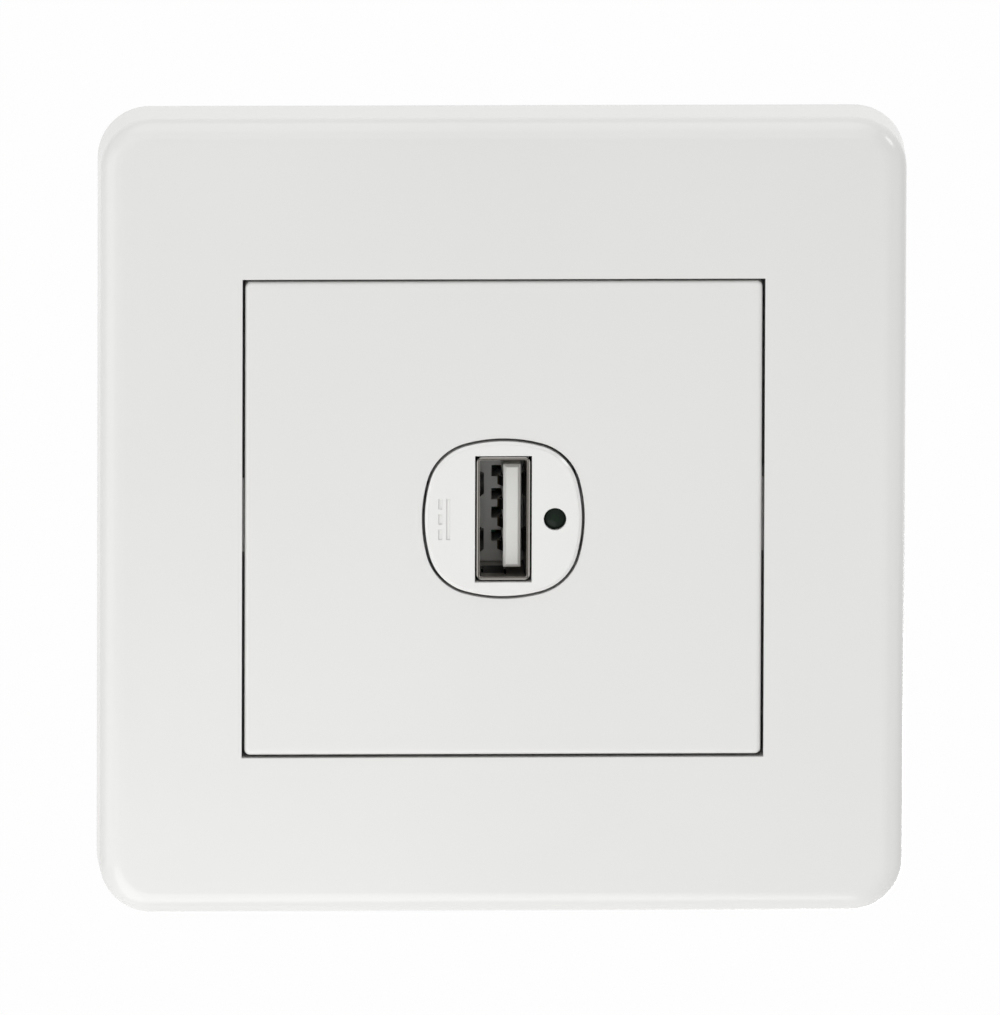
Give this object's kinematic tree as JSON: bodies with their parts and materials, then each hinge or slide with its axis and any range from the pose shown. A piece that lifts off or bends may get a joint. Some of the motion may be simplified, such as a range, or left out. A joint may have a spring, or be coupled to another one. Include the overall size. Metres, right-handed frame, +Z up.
{
  "type": "usb charging wall socket",
  "caption": "Square white wall plate with a centre panel, an upright rectangular charging port in a rounded nose, an indicator lamp and screw terminals behind.",
  "frame": {"origin": "centre of the two fixing slots, on the wall plane", "axes": "+Z up the wall, +Y into the wall, +X to the right as seen from the front, which looks along -Y"},
  "size_m": [0.086, 0.034, 0.086],
  "materials": {
    "white_polycarbonate": "satin moulded white",
    "grey_polyamide": "matt moulded light grey",
    "case_polycarbonate": "fine-textured moulded off-white",
    "terminal_plastic": "matt moulded charcoal",
    "zinc_steel": "zinc plated",
    "nickel_steel": "nickel plated sheet",
    "tinned_brass": "tinned",
    "insulator_plastic": "matt moulded white",
    "gilt_bronze": "gilt spring strip",
    "green_epoxy": "clear green cast resin",
    "tinned_wire": "tinned wire",
    "circuit_laminate": "green lacquered laminate",
    "ferrite": "sintered ferrite",
    "bobbin_phenolic": "moulded black",
    "winding_tape": "yellow film tape",
    "capacitor_can": "aluminium can in a black sleeve",
    "capacitor_resin": "dipped blue resin",
    "shrink_sleeve": "black sleeve",
    "resistor_lacquer": "green lacquer",
    "chip_epoxy": "moulded black"
  },
  "bodies": {
    "outlet": {"outer_frame": "white_polycarbonate", "centre_panel": "white_polycarbonate", "module_front_cover": "white_polycarbonate", "mounting_yoke": "grey_polyamide", "module_rear_case": "case_polycarbonate", "terminal_block": "terminal_plastic", "case_screws": "zinc_steel", "usb_shell": "nickel_steel", "live_busbar": "tinned_brass", "neutral_busbar": "tinned_brass", "usb_insulator": "insulator_plastic", "usb_contact_ground": "gilt_bronze", "usb_contact_data_plus": "gilt_bronze", "usb_contact_data_minus": "gilt_bronze", "usb_contact_supply": "gilt_bronze", "indicator_led": "green_epoxy", "led_leads": "tinned_wire", "transformer_pins": "tinned_wire", "main_board": "circuit_laminate", "transformer_core": "ferrite", "transformer_bobbin": "bobbin_phenolic", "transformer_winding": "winding_tape", "input_capacitor": "capacitor_can", "output_capacitor": "capacitor_can", "safety_capacitor": "capacitor_resin", "filter_choke": "shrink_sleeve", "fuse_resistor": "resistor_lacquer", "bridge_rectifier": "chip_epoxy", "controller_chip": "chip_epoxy", "output_diode": "chip_epoxy", "chip_resistors": "chip_epoxy"},
    "live_screw": {"live_clamp_screw": "zinc_steel"},
    "live_clamp": {"live_clamp_cage": "zinc_steel"},
    "neutral_screw": {"neutral_clamp_screw": "zinc_steel"},
    "neutral_clamp": {"neutral_clamp_cage": "zinc_steel"}
  },
  "joints": [
    {"name": "live_screw_turn", "type": "hinge", "parent": "outlet", "child": "live_screw", "pos_m": [0.004, 0.0187, -0.0169], "axis": [0, -1, 0], "range_deg": [0, 2161]},
    {"name": "live_clamp_rise", "type": "slide", "parent": "outlet", "child": "live_clamp", "axis": [0, 1, 0], "range_m": [0, 0.003]},
    {"name": "neutral_screw_turn", "type": "hinge", "parent": "outlet", "child": "neutral_screw", "pos_m": [-0.004, 0.0187, -0.0169], "axis": [0, -1, 0], "range_deg": [0, 2161]},
    {"name": "neutral_clamp_rise", "type": "slide", "parent": "outlet", "child": "neutral_clamp", "axis": [0, 1, 0], "range_m": [0, 0.003]}
  ],
  "couplings": [
    {"joint": "live_screw_turn", "follows": "live_clamp_rise", "rad_per_m": 12566},
    {"joint": "neutral_screw_turn", "follows": "neutral_clamp_rise", "rad_per_m": 12566}
  ]
}
